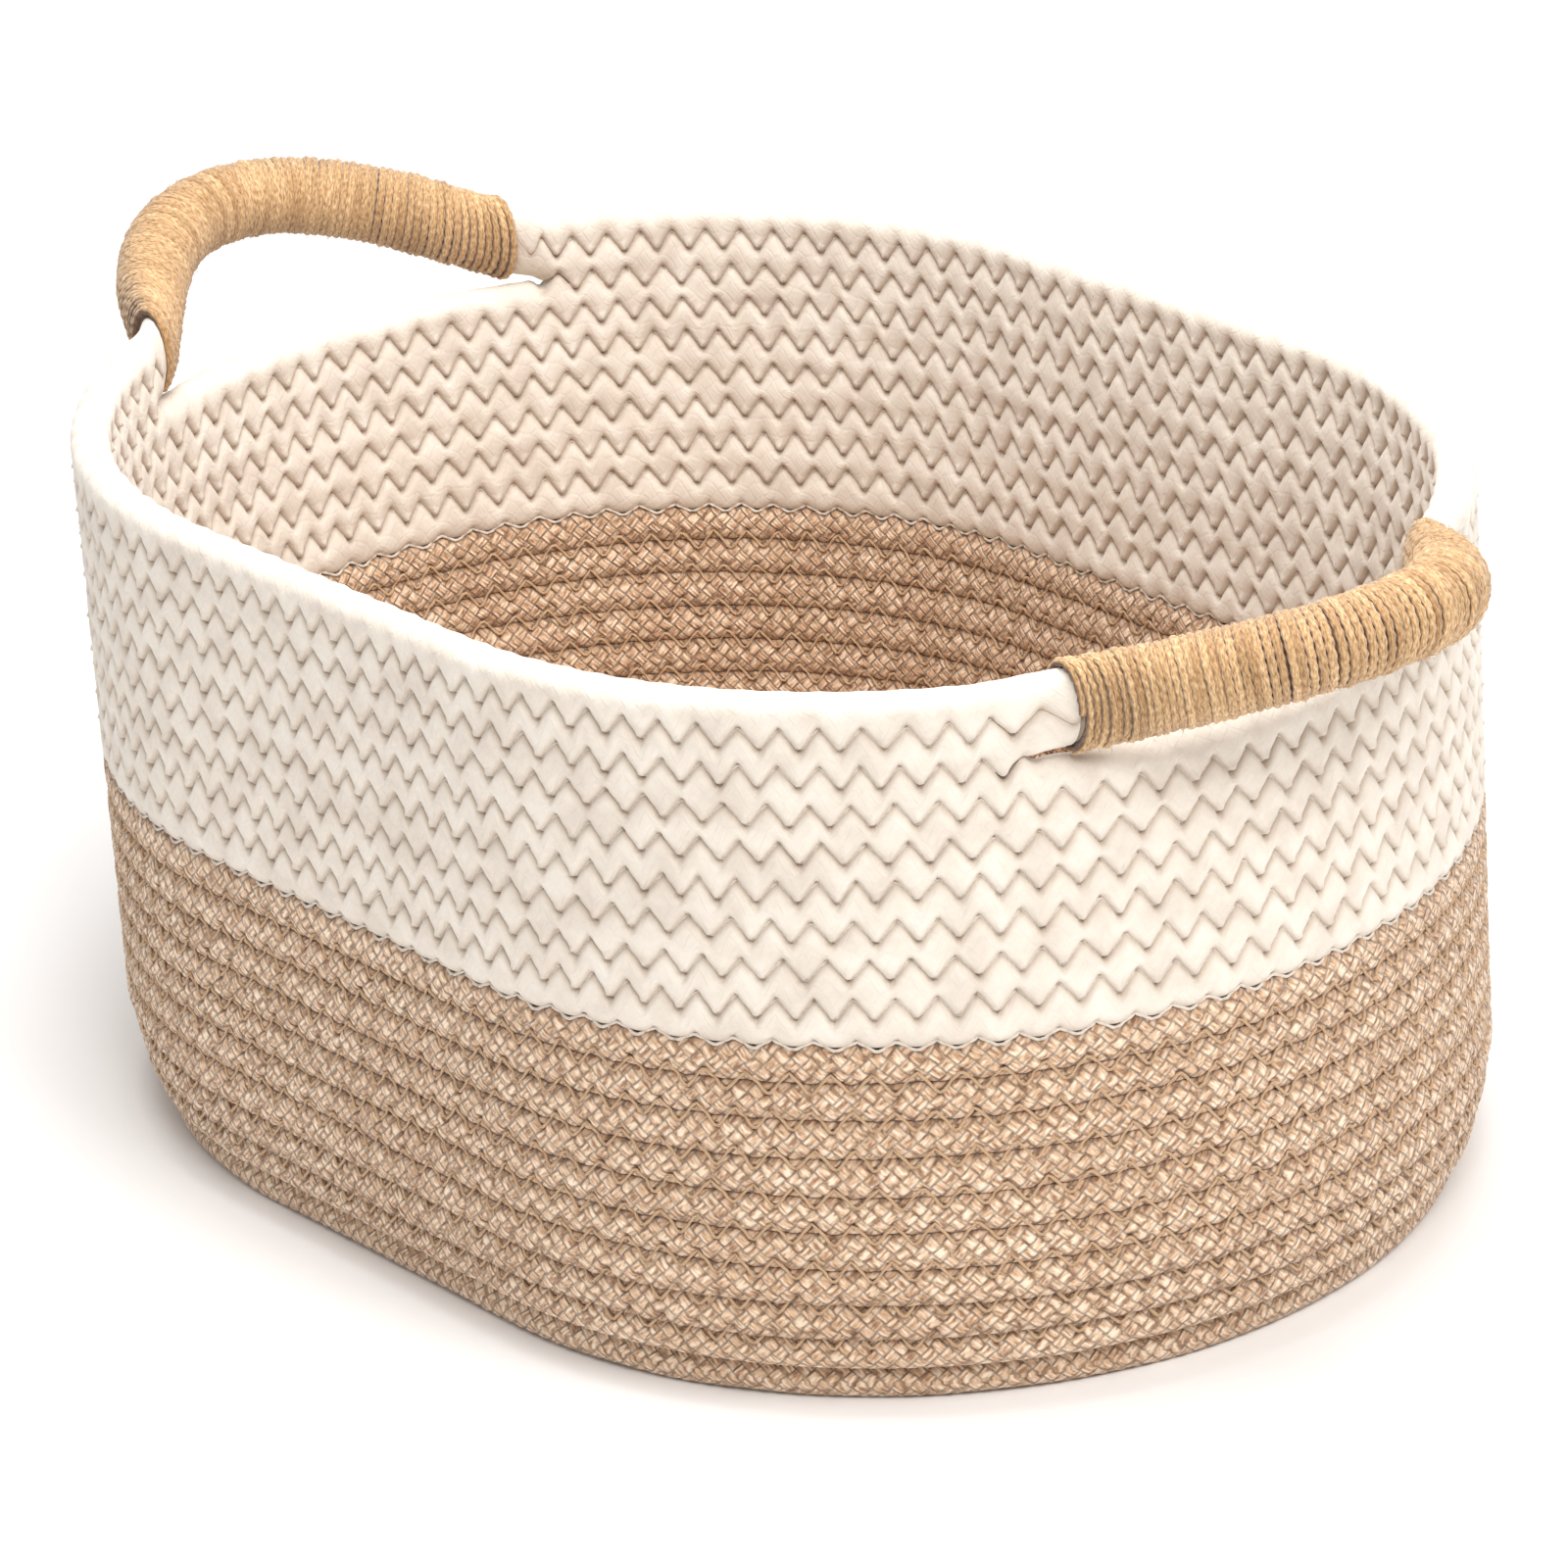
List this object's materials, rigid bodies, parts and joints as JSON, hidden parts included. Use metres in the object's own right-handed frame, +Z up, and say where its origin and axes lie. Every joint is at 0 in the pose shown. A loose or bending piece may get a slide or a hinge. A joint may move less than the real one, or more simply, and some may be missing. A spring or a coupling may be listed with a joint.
{
  "type": "laundry basket",
  "caption": "Oval storage basket coiled from sewn rope, tan below and white above, with two rope handles at its ends wrapped in jute twine.",
  "frame": {"origin": "middle of the underside, on the floor", "axes": "+X along the basket towards the right-hand handle, +Y across it, +Z up"},
  "size_m": [0.4846, 0.2904, 0.2082],
  "materials": {
    "tan_rope": "flecked tan braided rope",
    "white_rope": "off-white braided cotton rope",
    "tan_thread": "matt sewing thread",
    "white_thread": "matt sewing thread",
    "jute_twine": "hairy jute twine"
  },
  "bodies": {
    "basket": {"base_coil_1": "tan_rope", "base_coil_2": "tan_rope", "base_coil_3": "tan_rope", "base_coil_4": "tan_rope", "base_coil_5": "tan_rope", "base_coil_6": "tan_rope", "base_coil_7": "tan_rope", "base_coil_8": "tan_rope", "base_coil_9": "tan_rope", "base_coil_10": "tan_rope", "base_coil_11": "tan_rope", "base_coil_12": "tan_rope", "base_coil_13": "tan_rope", "base_coil_14": "tan_rope", "tan_course_1": "tan_rope", "tan_course_2": "tan_rope", "tan_course_3": "tan_rope", "tan_course_4": "tan_rope", "tan_course_5": "tan_rope", "tan_course_6": "tan_rope", "tan_course_7": "tan_rope", "tan_course_8": "tan_rope", "tan_course_9": "tan_rope", "white_course_1": "white_rope", "white_course_2": "white_rope", "white_course_3": "white_rope", "white_course_4": "white_rope", "white_course_5": "white_rope", "white_course_6": "white_rope", "white_course_7": "white_rope", "second_rope_front": "white_rope", "second_rope_back": "white_rope", "rim_rope_front": "white_rope", "rim_rope_back": "white_rope", "base_stitching": "tan_thread", "tan_stitching": "tan_thread", "white_stitching": "white_thread"},
    "left_handle": {"left_handle_rim_strand": "white_rope", "left_handle_lower_strand": "white_rope", "left_handle_twine": "jute_twine"},
    "right_handle": {"right_handle_rim_strand": "white_rope", "right_handle_lower_strand": "white_rope", "right_handle_twine": "jute_twine"}
  },
  "joints": [
    {"name": "left_handle_swing", "type": "hinge", "parent": "basket", "child": "left_handle", "pos_m": [-0.18406, 0, 0.18274], "axis": [0, 1, 0], "range_deg": [-15, 60], "stiffness_Nm_per_rad": 0.5},
    {"name": "right_handle_swing", "type": "hinge", "parent": "basket", "child": "right_handle", "pos_m": [0.18406, 0, 0.18274], "axis": [0, -1, 0], "range_deg": [-15, 60], "stiffness_Nm_per_rad": 0.5}
  ]
}
